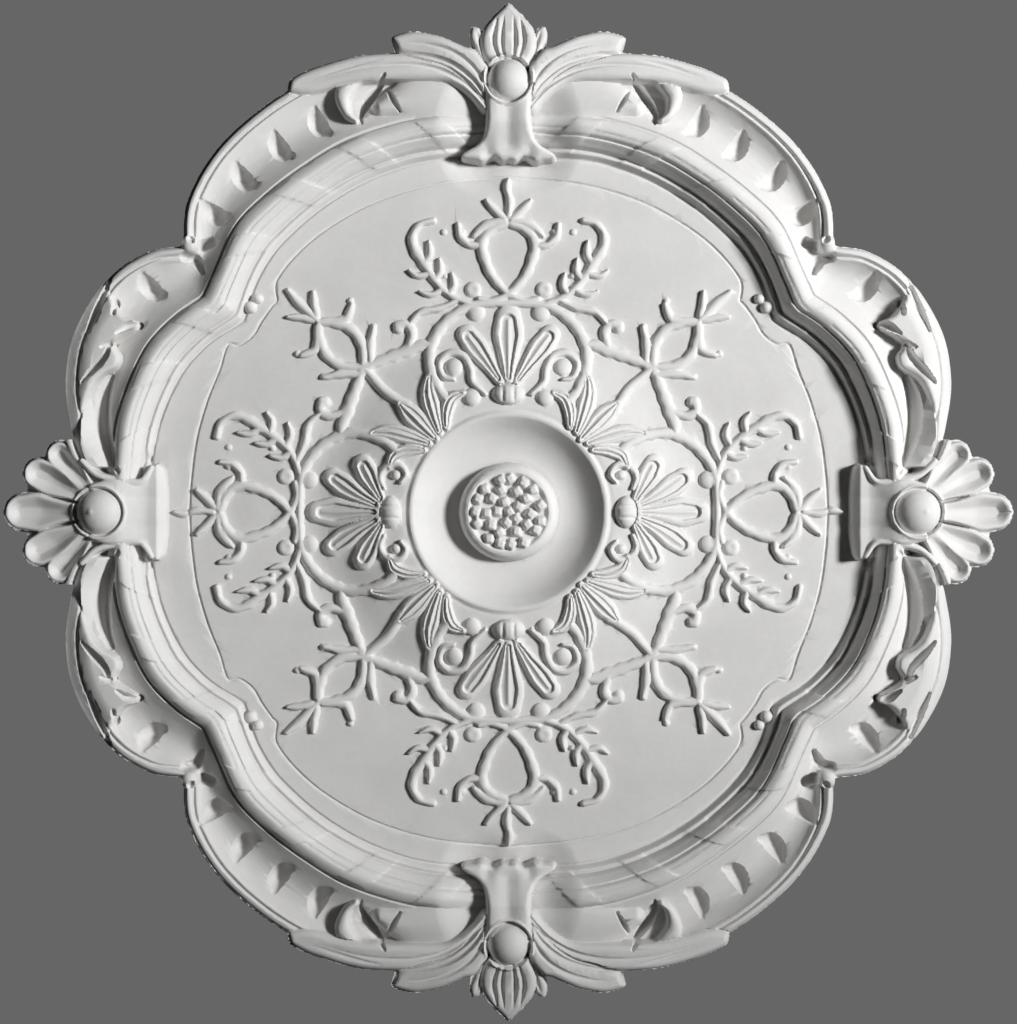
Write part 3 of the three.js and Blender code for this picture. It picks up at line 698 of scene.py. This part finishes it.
def lay_clasp(chart, angle):
    """The oval clasp at a palmette's foot: a dome with a crease on each side of its middle ridge."""
    out, half_out, half_aside, height = CLASP
    middle = turned(((out, 0),), angle)
    cut, x, y = chart.window(middle, half_aside + chart.pitch)
    dx, dy = x - middle[0, 0], y - middle[0, 1]
    u = (dx * np.cos(angle) + dy * np.sin(angle)) / half_out
    v = (dy * np.cos(angle) - dx * np.sin(angle)) / half_aside
    dome = height * np.clip(1 - u * u - v * v, 0, 1) ** 0.5
    crease = 1.8 * np.exp(-((np.abs(v) - 0.34) / 0.1) ** 2) * (1 - soft_step(0.5, 0.9, np.abs(u)))
    chart.relief[cut] = np.where(dome > 0, np.maximum(dome - crease, 0.5), chart.relief[cut])


def sink(chart, path, half, share, depth, rib):
    """Hollows a petal by `depth` over that share of its half widths, and leaves a rib along its middle."""
    half = np.array(half) * share
    cut, x, y = chart.window(path, max(half) + chart.pitch)
    s, away, _ = nearest(path, x, y)
    q = away / np.interp(s, np.linspace(0, 1, len(half)), half)
    hollow = depth * (1 - soft_step(0.75, 1.0, q)) - rib * np.exp(-(q / 0.3) ** 2) * (q < 1)
    chart.relief[cut] = np.maximum(chart.relief[cut] - hollow * (q < 1), 0)


# The boss's profile as radius and share of its height over the dish floor, and its florets in rows as
# (distance from the middle, count, radius)
BOSS = ((0, 1), (30, 1), (37, 0.98), (41.5, 0.905), (44.5, 0.715), (46.5, 0.38), (47.2, 0), (50, 0))
FLORETS = ((0, 1, 5.0), (10.5, 5, 5.4), (21, 10, 5.6), (31.5, 15, 5.6))
# A floret's rise over the bottom of the gaps, how deep they are, and its dimple's depth and radius
FLORET_RISE = 8.0
FLORET_GAP = 4.5
DIMPLE = (1.6, 1.5)


def lay_boss(chart):
    """The boss in the dish: a drum with a round shoulder, its top packed with four-lobed florets that
    each have a dimple and stand apart in deep gaps."""
    cut, x, y = chart.window(np.zeros((1, 2)), BOSS_RADIUS + 4)
    r = np.hypot(x, y)
    drum = CENTRE[0][1] + (chart.boss - CENTRE[0][1]) * np.interp(r, *np.array(BOSS, float).T)
    knobs = np.full_like(drum, -FLORET_GAP)
    dimple, pit = DIMPLE
    rng = np.random.default_rng(7)
    for row, (ring, count, size) in enumerate(FLORETS):
        for k in range(count):
            a = 2 * np.pi * (k + 0.5 * (row % 2)) / count + rng.uniform(-0.1, 0.1)
            dx = x - (ring * np.cos(a) + rng.uniform(-1, 1))
            dy = y - (ring * np.sin(a) + rng.uniform(-1, 1))
            d = np.hypot(dx, dy)
            lobes = 1 + 0.1 * np.cos(4 * np.arctan2(dy, dx) + rng.uniform(0, 6))
            dome = FLORET_RISE * np.clip(1 - (d / (size * lobes)) ** 2, 0, 1) ** 0.5
            knobs = np.maximum(knobs, dome - FLORET_GAP - dimple * np.exp(-(d / pit) ** 2))
    knobs = np.where(r > 33, np.maximum(knobs, -FLORET_GAP * soft_step(39, 34, r)), knobs)
    chart.height[cut] = np.where(r < 48, drum + knobs * soft_step(45, 39, r), chart.height[cut])


def lay_relief(chart):
    """The whole rose over its frame, down to the finest stems."""
    lay_scoops(chart)
    for side in BOTH:
        lay_shell(chart, side)
    for side in BOTH:
        lay_crest(chart, side)
    lay_corners(chart)
    lay_boss(chart)
    lay_arabesques(chart)


# Faces whose directions differ by less than this cosine are shaded as one surface
SAME_FACE = 0.72
# The side wall's rows of vertices, as shares of the height of the front's edge
WALL_ROWS = (0.66, 0.33, 0.0)
# Recesses are found against the mean height this many cells round, and their full depth. The plaster darkens
# them as painted shade and lightens the crowns as a painted highlight
RECESS_REACH = 4
RECESS_DEPTH = 14.0


def spread(values, reach):
    """Each value's mean over a square `reach` cells to every side, by running sums along both axes."""
    for axis in (0, 1):
        padding = [(0, 0), (0, 0)]
        padding[axis] = (reach + 1, reach)
        run = np.cumsum(np.pad(values, padding, mode="edge"), axis=axis)
        high = np.take(run, np.arange(2 * reach + 1, run.shape[axis]), axis=axis)
        low = np.take(run, np.arange(0, run.shape[axis] - 2 * reach - 1), axis=axis)
        values = (high - low) / (2 * reach + 1)
    return values


def shifted(values, dy, dx):
    """The grid moved by whole cells, with its edge repeated."""
    rows = np.clip(np.arange(values.shape[0]) + dy, 0, values.shape[0] - 1)
    columns = np.clip(np.arange(values.shape[1]) + dx, 0, values.shape[1] - 1)
    return values[np.ix_(rows, columns)]


def front_and_wall(chart):
    """The front and the side wall as vertices and quads. Grid places just outside the silhouette move
    onto it, against the slope of `reach`; the wall drops from the front's free edge to the back."""
    height = chart.height + chart.relief
    inside = chart.reach > 0
    # carry the height outwards over the silhouette
    near = [(dy, dx) for dy in (-1, 0, 1) for dx in (-1, 0, 1) if dy or dx]
    known = inside.copy()
    for _ in range(2):
        count = sum(shifted(known, dy, dx).astype(float) for dy, dx in near)
        total = sum(shifted(height * known, dy, dx) for dy, dx in near)
        height = np.where(known, height, total / np.maximum(count, 1))
        known |= count > 0
    cells = inside[:-1, :-1] | inside[1:, :-1] | inside[:-1, 1:] | inside[1:, 1:]
    # close cells that touch only at a corner
    for _ in range(8):
        a, b, c, d = cells[:-1, :-1], cells[1:, 1:], cells[1:, :-1], cells[:-1, 1:]
        falling, rising = a & b & ~c & ~d, c & d & ~a & ~b
        cells[1:, :-1] |= falling
        cells[:-1, 1:] |= falling
        cells[:-1, :-1] |= rising
        cells[1:, 1:] |= rising
    x, y = np.meshgrid(chart.x, chart.y)
    slope_y, slope_x = np.gradient(spread(chart.reach.clip(-6, 6), 1), chart.pitch)
    steep = np.maximum(slope_x ** 2 + slope_y ** 2, 0.25)
    off = np.where(inside, 0, np.clip(chart.reach, -1.6 * chart.pitch, 0))
    x = x - off * slope_x / steep
    y = y - off * slope_y / steep
    used = np.zeros(inside.shape, bool)
    for dy in (0, 1):
        for dx in (0, 1):
            used[dy:dy + cells.shape[0], dx:dx + cells.shape[1]] |= cells
    number = np.full(inside.shape, -1)
    number[used] = np.arange(used.sum())
    front = np.stack([x[used], y[used], height[used]], 1)
    quads = np.stack([number[:-1, :-1][cells], number[:-1, 1:][cells],
                      number[1:, 1:][cells], number[1:, :-1][cells]], 1)
    edges = np.concatenate([quads[:, (i, (i + 1) % 4)] for i in range(4)])
    key = edges[:, 0].astype(np.int64) * len(front) + edges[:, 1]
    back_key = edges[:, 1].astype(np.int64) * len(front) + edges[:, 0]
    free = edges[~np.isin(key, back_key)]
    rim = np.unique(free)
    layers = [front]
    above = free
    for i, part in enumerate(WALL_ROWS):
        lookup = np.full(len(front), -1)
        lookup[rim] = np.arange(len(rim)) + len(front) + i * len(rim)
        below = lookup[free]
        quads = np.vstack([quads, np.stack([above[:, 1], above[:, 0], below[:, 0], below[:, 1]], 1)])
        above = below
        layers.append(front[rim] * (1, 1, part))
    return np.vstack(layers), quads


def new_object(name, vertices, faces):
    """A mesh object from arrays of vertices in metres and faces of equal size."""
    mesh = bpy.data.meshes.new(name)
    mesh.vertices.add(len(vertices))
    mesh.vertices.foreach_set("co", np.asarray(vertices, np.float32).ravel())
    size = faces.shape[1]
    mesh.loops.add(faces.size)
    mesh.loops.foreach_set("vertex_index", faces.astype(np.int32).ravel())
    mesh.polygons.add(len(faces))
    mesh.polygons.foreach_set("loop_start", np.arange(0, faces.size, size, dtype=np.int32))
    mesh.update(calc_edges=True)
    mesh.validate()
    item = bpy.data.objects.new(name, mesh)
    bpy.context.scene.collection.objects.link(item)
    return item


def thin_out(item, triangles):
    """Collapses the mesh to about the stated number of triangles, where its surface is plainest."""
    mesh = item.data
    mesh.calc_loop_triangles()
    modifier = item.modifiers.new("thin", "DECIMATE")
    modifier.ratio = min(triangles / max(len(mesh.loop_triangles), 1), 1.0)
    modifier.use_collapse_triangulate = True
    graph = bpy.context.evaluated_depsgraph_get()
    thinned = bpy.data.meshes.new_from_object(item.evaluated_get(graph))
    item.modifiers.clear()
    item.data = thinned
    bpy.data.meshes.remove(mesh)
    thinned.name = item.name


def close_back(item):
    """Flattens the open edge onto the back plane and closes it with one flat face, in triangles."""
    form = bmesh.new()
    form.from_mesh(item.data)
    open_edges = [edge for edge in form.edges if edge.is_boundary]
    for edge in open_edges:
        for vertex in edge.verts:
            vertex.co.z = 0.0
    filled = bmesh.ops.holes_fill(form, edges=open_edges, sides=0)
    bmesh.ops.triangulate(form, faces=filled["faces"])
    bmesh.ops.recalc_face_normals(form, faces=form.faces)
    form.to_mesh(item.data)
    form.free()
    item.data.update()


def sample(grid, chart, x, y):
    """A grid's value at places on the chart, between its four nearest cells."""
    i = np.clip(x / chart.pitch + chart.nx, 0, grid.shape[1] - 1.001)
    j = np.clip(y / chart.pitch + chart.ny, 0, grid.shape[0] - 1.001)
    i0, j0 = i.astype(int), j.astype(int)
    u, v = i - i0, j - j0
    low = grid[j0, i0] * (1 - u) + grid[j0, i0 + 1] * u
    high = grid[j0 + 1, i0] * (1 - u) + grid[j0 + 1, i0 + 1] * u
    return low * (1 - v) + high * v


def set_normals(item):
    """Shades each corner with the mean direction of the faces round its vertex, weighted by their area.
    Faces turned away from that mean share one of their own, so that flat stays flat beside steep."""
    mesh = item.data
    corner = np.empty(len(mesh.loops), np.int32)
    mesh.loops.foreach_get("vertex_index", corner)
    corner = corner.reshape(-1, 3)
    facing = np.empty(3 * len(mesh.polygons), np.float32)
    mesh.polygons.foreach_get("normal", facing)
    facing = facing.reshape(-1, 3)
    area = np.empty(len(mesh.polygons), np.float32)
    mesh.polygons.foreach_get("area", area)
    weighted = facing * area[:, None]

    def mean_direction(chosen):
        total = np.zeros((len(mesh.vertices), 3))
        for k in range(3):
            at = chosen[:, k]
            for axis in range(3):
                total[:, axis] += np.bincount(corner[at, k], weighted[at, axis], len(total))
        return total / np.maximum(np.linalg.norm(total, axis=1, keepdims=True), 1e-12)

    def agreement(normals):
        return (normals * facing[:, None, :]).sum(2)
    agree = agreement(mean_direction(np.ones(corner.shape, bool))[corner]) > SAME_FACE
    normals = np.where(agree[..., None], mean_direction(agree)[corner], mean_direction(~agree)[corner])
    normals = np.where((agreement(normals) > SAME_FACE)[..., None], normals, facing[:, None, :])
    mesh.normals_split_custom_set(normals.reshape(-1, 3).tolist())


class Nodes:
    """Adds shader nodes to one tree and links them."""

    def __init__(self, tree):
        self.tree = tree

    def feed(self, socket, value):
        """Links a socket to another node's output, or sets it to a plain value."""
        if isinstance(value, bpy.types.NodeSocket):
            self.tree.links.new(value, socket)
        else:
            socket.default_value = value

    def add(self, kind, inputs=None, **settings):
        """A new node with its settings, and with its inputs by name or number."""
        node = self.tree.nodes.new(kind)
        for name, value in settings.items():
            setattr(node, name, value)
        for name, value in (inputs or {}).items():
            self.feed(node.inputs[name], value)
        return node

    def mixed(self, factor, a, b):
        return self.add("ShaderNodeMix", {0: factor, 6: a, 7: b}, data_type="RGBA").outputs[2]

    def math(self, operation, a, b):
        return self.add("ShaderNodeMath", {0: a, 1: b}, operation=operation).outputs[0]

    def noise(self, vector, scale, detail):
        node = self.add("ShaderNodeTexNoise", {"Vector": vector, "Scale": scale, "Detail": detail})
        return node.outputs["Fac"]

    def ramp(self, value, low, high):
        """Runs from 0 at `low` to 1 at `high`."""
        node = self.add("ShaderNodeMapRange", {"Value": value, "From Min": low, "From Max": high})
        return node.outputs["Result"]

    def weighted(self, *terms):
        """The sum of values, each times its weight."""
        parts = [self.math("MULTIPLY", value, weight) for value, weight in terms]
        total = parts[0]
        for part in parts[1:]:
            total = self.math("ADD", total, part)
        return total


def grain_group():
    """Cast plaster's fine grain: a height from three sizes of noise and rare small air holes."""
    tree = bpy.data.node_groups.new("plaster_grain", "ShaderNodeTree")
    tree.interface.new_socket("Vector", in_out="INPUT", socket_type="NodeSocketVector")
    for name in ("Height", "Mottle"):
        tree.interface.new_socket(name, in_out="OUTPUT", socket_type="NodeSocketFloat")
    n = Nodes(tree)
    vector = n.add("NodeGroupInput").outputs["Vector"]
    fine = n.noise(vector, 900.0, 2.0)
    middle = n.noise(vector, 170.0, 3.0)
    broad = n.noise(vector, 26.0, 3.0)
    holes = n.add("ShaderNodeTexVoronoi", {"Scale": 130.0, "Vector": vector})
    pin = n.ramp(holes.outputs["Distance"], 0.10, 0.05)
    rare = n.ramp(middle, 0.60, 0.66)
    height = n.weighted((fine, 0.25), (middle, 0.45), (broad, 0.6))
    height = n.math("SUBTRACT", height, n.math("MULTIPLY", pin, rare))
    n.add("NodeGroupOutput", {"Height": height, "Mottle": n.weighted((broad, 0.7), (middle, 0.3))})
    return tree


def scrim_weave(n, place, height):
    """Where the weave of the hessian scrim shows: two crossed waves, turned a little, in patches of
    the flat back."""
    at_back = n.ramp(height, -0.0006, -0.0002)
    across = n.add("ShaderNodeMapping", {"Rotation": (0, 0, 0.3), "Vector": place}).outputs["Vector"]
    threads = [n.add("ShaderNodeTexWave", {"Scale": 85.0, "Distortion": 1.4, "Detail": 1.0, "Vector": across},
                     wave_type="BANDS", bands_direction=direction).outputs["Fac"] for direction in "XY"]
    weave = n.math("MULTIPLY", n.math("MAXIMUM", *threads), at_back)
    return n.math("MULTIPLY", weave, n.ramp(n.noise(place, 7.0, 3.0), 0.42, 0.6))


def plaster_material(look):
    """White cast plaster: matt, faintly mottled, darker in the recesses as painted shade and lighter on
    the crowns and edges as a painted highlight, with the weave of the scrim showing through the flat back."""
    material = bpy.data.materials.new("plaster")
    material.use_nodes = True
    material.node_tree.nodes.clear()
    n = Nodes(material.node_tree)
    place = n.add("ShaderNodeTexCoord").outputs["Object"]
    grain = n.add("ShaderNodeGroup", {"Vector": place}, node_tree=grain_group())
    recess = n.add("ShaderNodeAttribute", attribute_name="recess").outputs["Fac"]
    mottle = n.ramp(grain.outputs["Mottle"], 0.38, 0.62)
    scrim = scrim_weave(n, place, n.add("ShaderNodeSeparateXYZ", {0: place}).outputs["Z"])
    colour = n.mixed(mottle, (*look.shade_colour, 1), (*look.plaster_colour, 1))
    # The first mask darkens the recesses as painted shade and the second lightens the crowns as a painted
    # highlight, both read from the recess attribute; the scrim is the back's own weave
    for mask, share, tint in ((n.ramp(recess, 0.50, 0.85), 0.5, look.painted_shade_colour),
                              (n.ramp(recess, 0.48, 0.25), 0.5, look.painted_highlight_colour),
                              (scrim, 0.35, look.scrim_colour)):
        colour = n.mixed(n.math("MULTIPLY", mask, share), colour, (*tint, 1))
    height = n.math("ADD", grain.outputs["Height"], n.math("MULTIPLY", scrim, 1.2))
    bump = n.add("ShaderNodeBump", {"Strength": 0.35, "Distance": 0.0008, "Height": height})
    rough = n.math("ADD", n.math("MULTIPLY", mottle, -0.08), 0.80)
    shader = n.add("ShaderNodeBsdfPrincipled", {"Base Color": colour, "Roughness": rough,
                                                "Specular IOR Level": 0.35, "Normal": bump.outputs["Normal"]})
    n.add("ShaderNodeOutputMaterial", {"Surface": shader.outputs[0]})
    return material


def floor_paint(look):
    """A pale floor paint whose tone is its own and not the lamps', so that it stays even to the
    horizon. Only the camera sees that glow."""
    paint = bpy.data.materials.new("floor_paint")
    paint.use_nodes = True
    n = Nodes(paint.node_tree)
    shader = paint.node_tree.nodes["Principled BSDF"]
    seen = n.add("ShaderNodeLightPath").outputs["Is Camera Ray"]
    for name, value in (("Base Color", (0.02, 0.02, 0.02, 1)), ("Roughness", 0.9),
                        ("Emission Color", (*look.floor_colour, 1)), ("Emission Strength", seen)):
        n.feed(shader.inputs[name], value)
    return paint


def studio_world(look):
    """A grey backdrop behind the rose that gives only a little light of its own."""
    world = bpy.data.worlds.new("studio")
    world.use_nodes = True
    n = Nodes(world.node_tree)
    seen = n.add("ShaderNodeLightPath").outputs["Is Camera Ray"]
    tone = n.mixed(seen, (*look.shadow_colour, 1), (*look.backdrop_colour, 1))
    n.feed(world.node_tree.nodes["Background"].inputs["Color"], tone)
    return world


# Name, place, what it is aimed at, radius, watts, cone and softness of the cone's edge
LAMPS = (
    ("key", (2.7, -0.57, -2.39), (0, -0.24, -0.03), 0.33, 640.0, 0.62, 1.0),
    ("fill", (-0.7, 0.4, -2.2), (0, 0, -0.03), 0.9, 2.5, 0.8, 0.3),
    ("above", (-1.3, 1.2, 2.6), (0, 0, 0), 0.9, 900.0, 0.40, 0.4),
)
FLOOR_REACH = 60.0
FLOOR_LEVEL = -2.6
# The camera's distance below the relief's middle, and its lens for each metre of that
CAMERA_DISTANCE = 1.9
RELIEF_MIDDLE = -0.035
LENS_PER_METRE = 37.0


def hang_lamp(name, place, aim, radius, power, cone, blend):
    lamp = bpy.data.lights.new(name, "SPOT")
    lamp.shadow_soft_size = radius
    lamp.energy = power
    lamp.spot_size = cone
    lamp.spot_blend = blend
    item = bpy.data.objects.new(name, lamp)
    item.location = place
    item.rotation_euler = (Vector(aim) - Vector(place)).to_track_quat("-Z", "Y").to_euler()
    bpy.context.scene.collection.objects.link(item)


def length_prop(name, description, default, low, high):
    return bpy.props.FloatProperty(name=name, description=description, default=default, min=low, max=high,
                                   unit="LENGTH", precision=4)


def colour_prop(name, description, default):
    return bpy.props.FloatVectorProperty(name=name, description=description, default=default, min=0, max=1,
                                         subtype="COLOR")


class RoseSizes(bpy.types.PropertyGroup):
    """Sizes of the rose's mesh."""

    pitch: length_prop("Grid pitch", "Spacing of the grid the relief is worked out on", 0.001, 0.0008, 0.004)
    triangles: bpy.props.IntProperty(name="Triangles", description="Triangles left after thinning out",
                                     default=188000, min=20000, max=199000)
    ball: length_prop("Ball height", "Height of the four balls above the back", 0.062, 0.050, 0.0625)
    leaf: length_prop("Shell height", "Height of the shells' petals above the back", 0.047, 0.038, 0.055)
    boss: length_prop("Boss height", "Height of the middle boss above the back", 0.041, 0.030, 0.050)
    stem: length_prop("Stem height", "Height of the arabesques' stems above the field", 0.0052, 0.002, 0.009)
    petal: length_prop("Petal height", "Height of the palmettes' petals above the field", 0.006, 0.002, 0.009)


class RoseLook(bpy.types.PropertyGroup):
    """Colours of the plaster and of the stage."""

    plaster_colour: colour_prop("Plaster", "Main colour of the plaster", (0.80, 0.795, 0.785))
    shade_colour: colour_prop("Mottle", "Slightly darker patches", (0.76, 0.755, 0.74))
    # Painted shade, laid into the recesses
    painted_shade_colour: colour_prop("Dust", "Dust in the recesses", (0.56, 0.55, 0.53))
    # Painted highlight, laid on the crowns and edges
    painted_highlight_colour: colour_prop("Edges", "Rubbed edges and crowns", (0.86, 0.86, 0.855))
    scrim_colour: colour_prop("Scrim", "Hessian scrim showing through the back", (0.62, 0.55, 0.44))
    backdrop_colour: colour_prop("Backdrop", "Grey seen behind the rose", (0.133, 0.133, 0.133))
    shadow_colour: colour_prop("Room light", "Faint light from all round", (0.012, 0.012, 0.012))
    floor_colour: colour_prop("Floor", "Pale floor far below", (0.36, 0.36, 0.36))


class ROSE_OT_plaster(bpy.types.Operator):
    """Builds the plaster rose in place of the plain casting"""

    bl_idname = "rose.plaster"
    bl_label = "Plaster rose"

    def execute(self, context):
        sizes, look = context.scene.rose_sizes, context.scene.rose_look
        chart = Chart(sizes.pitch * 1000, sizes)
        lay_frame(chart)
        lay_relief(chart)
        vertices, faces = front_and_wall(chart)
        rose = new_object("rose", vertices * (0.001, -0.001, -0.001), faces)
        thin_out(rose, sizes.triangles)
        close_back(rose)
        mesh = rose.data
        mesh.polygons.foreach_set("use_smooth", np.ones(len(mesh.polygons), bool))
        set_normals(rose)
        places = np.empty(3 * len(mesh.vertices), np.float32)
        mesh.vertices.foreach_get("co", places)
        places = places.reshape(-1, 3) * 1000
        # How far each place lies below its surroundings, stored as the recess attribute that paints shade
        # into the hollows and a highlight onto the crowns
        height = np.where(chart.reach > 0, chart.height + chart.relief, 0)
        mean = spread(spread(height, RECESS_REACH), RECESS_REACH)
        dip = 0.5 + (mean - height) / RECESS_DEPTH * (chart.reach > RECESS_REACH)
        recess = sample(dip, chart, places[:, 0], -places[:, 1]).clip(0, 1).astype(np.float32)
        mesh.attributes.new("recess", "FLOAT", "POINT").data.foreach_set("value", recess)
        mesh.materials.clear()
        mesh.materials.append(plaster_material(look))
        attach(rose, "root")
        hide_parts("ceiling_rose")
        return {"FINISHED"}


class ROSE_OT_stage(bpy.types.Operator):
    """Sets the floor, the backdrop, the lights and the camera"""

    bl_idname = "rose.stage"
    bl_label = "Stage and camera"

    def execute(self, context):
        scene, look = context.scene, context.scene.rose_look
        corners = [(x * FLOOR_REACH, y * FLOOR_REACH, FLOOR_LEVEL) for x, y in CORNERS]
        floor = new_object("floor", np.array(corners), np.array([[0, 2, 3, 1]]))
        floor.data.materials.append(floor_paint(look))
        scene.world = studio_world(look)
        for values in LAMPS:
            hang_lamp(*values)
        camera = bpy.data.cameras.new("camera")
        camera.lens = LENS_PER_METRE * CAMERA_DISTANCE
        camera.sensor_width = 36.0
        eye = bpy.data.objects.new("camera", camera)
        below = Matrix.Translation((0, 0, RELIEF_MIDDLE - CAMERA_DISTANCE))
        eye.matrix_world = below @ Matrix.Rotation(np.pi, 4, "X")
        scene.collection.objects.link(eye)
        scene.camera = eye
        scene.view_settings.view_transform = "Standard"
        return {"FINISHED"}


class ROSE_PT_panel(bpy.types.Panel):
    """Lists the rose's sizes and colours, with buttons that build the rose and the stage"""

    bl_label = "Ceiling rose"
    bl_idname = "ROSE_PT_panel"
    bl_space_type = "VIEW_3D"
    bl_region_type = "UI"
    bl_category = "Rose"

    def draw(self, context):
        for group in (context.scene.rose_sizes, context.scene.rose_look):
            for name in group.bl_rna.properties.keys():
                if name not in ("rna_type", "name"):
                    self.layout.prop(group, name)
        self.layout.operator(ROSE_OT_plaster.bl_idname)
        self.layout.operator(ROSE_OT_stage.bl_idname)


CLASSES = (RoseSizes, RoseLook, ROSE_OT_plaster, ROSE_OT_stage, ROSE_PT_panel)


def register():
    for item in CLASSES:
        bpy.utils.register_class(item)
    bpy.types.Scene.rose_sizes = bpy.props.PointerProperty(type=RoseSizes)
    bpy.types.Scene.rose_look = bpy.props.PointerProperty(type=RoseLook)


def unregister():
    del bpy.types.Scene.rose_look
    del bpy.types.Scene.rose_sizes
    for item in reversed(CLASSES):
        bpy.utils.unregister_class(item)


def main():
    register()
    bpy.ops.rose.plaster()
    bpy.ops.rose.stage()


if __name__ == "__main__":
    main()
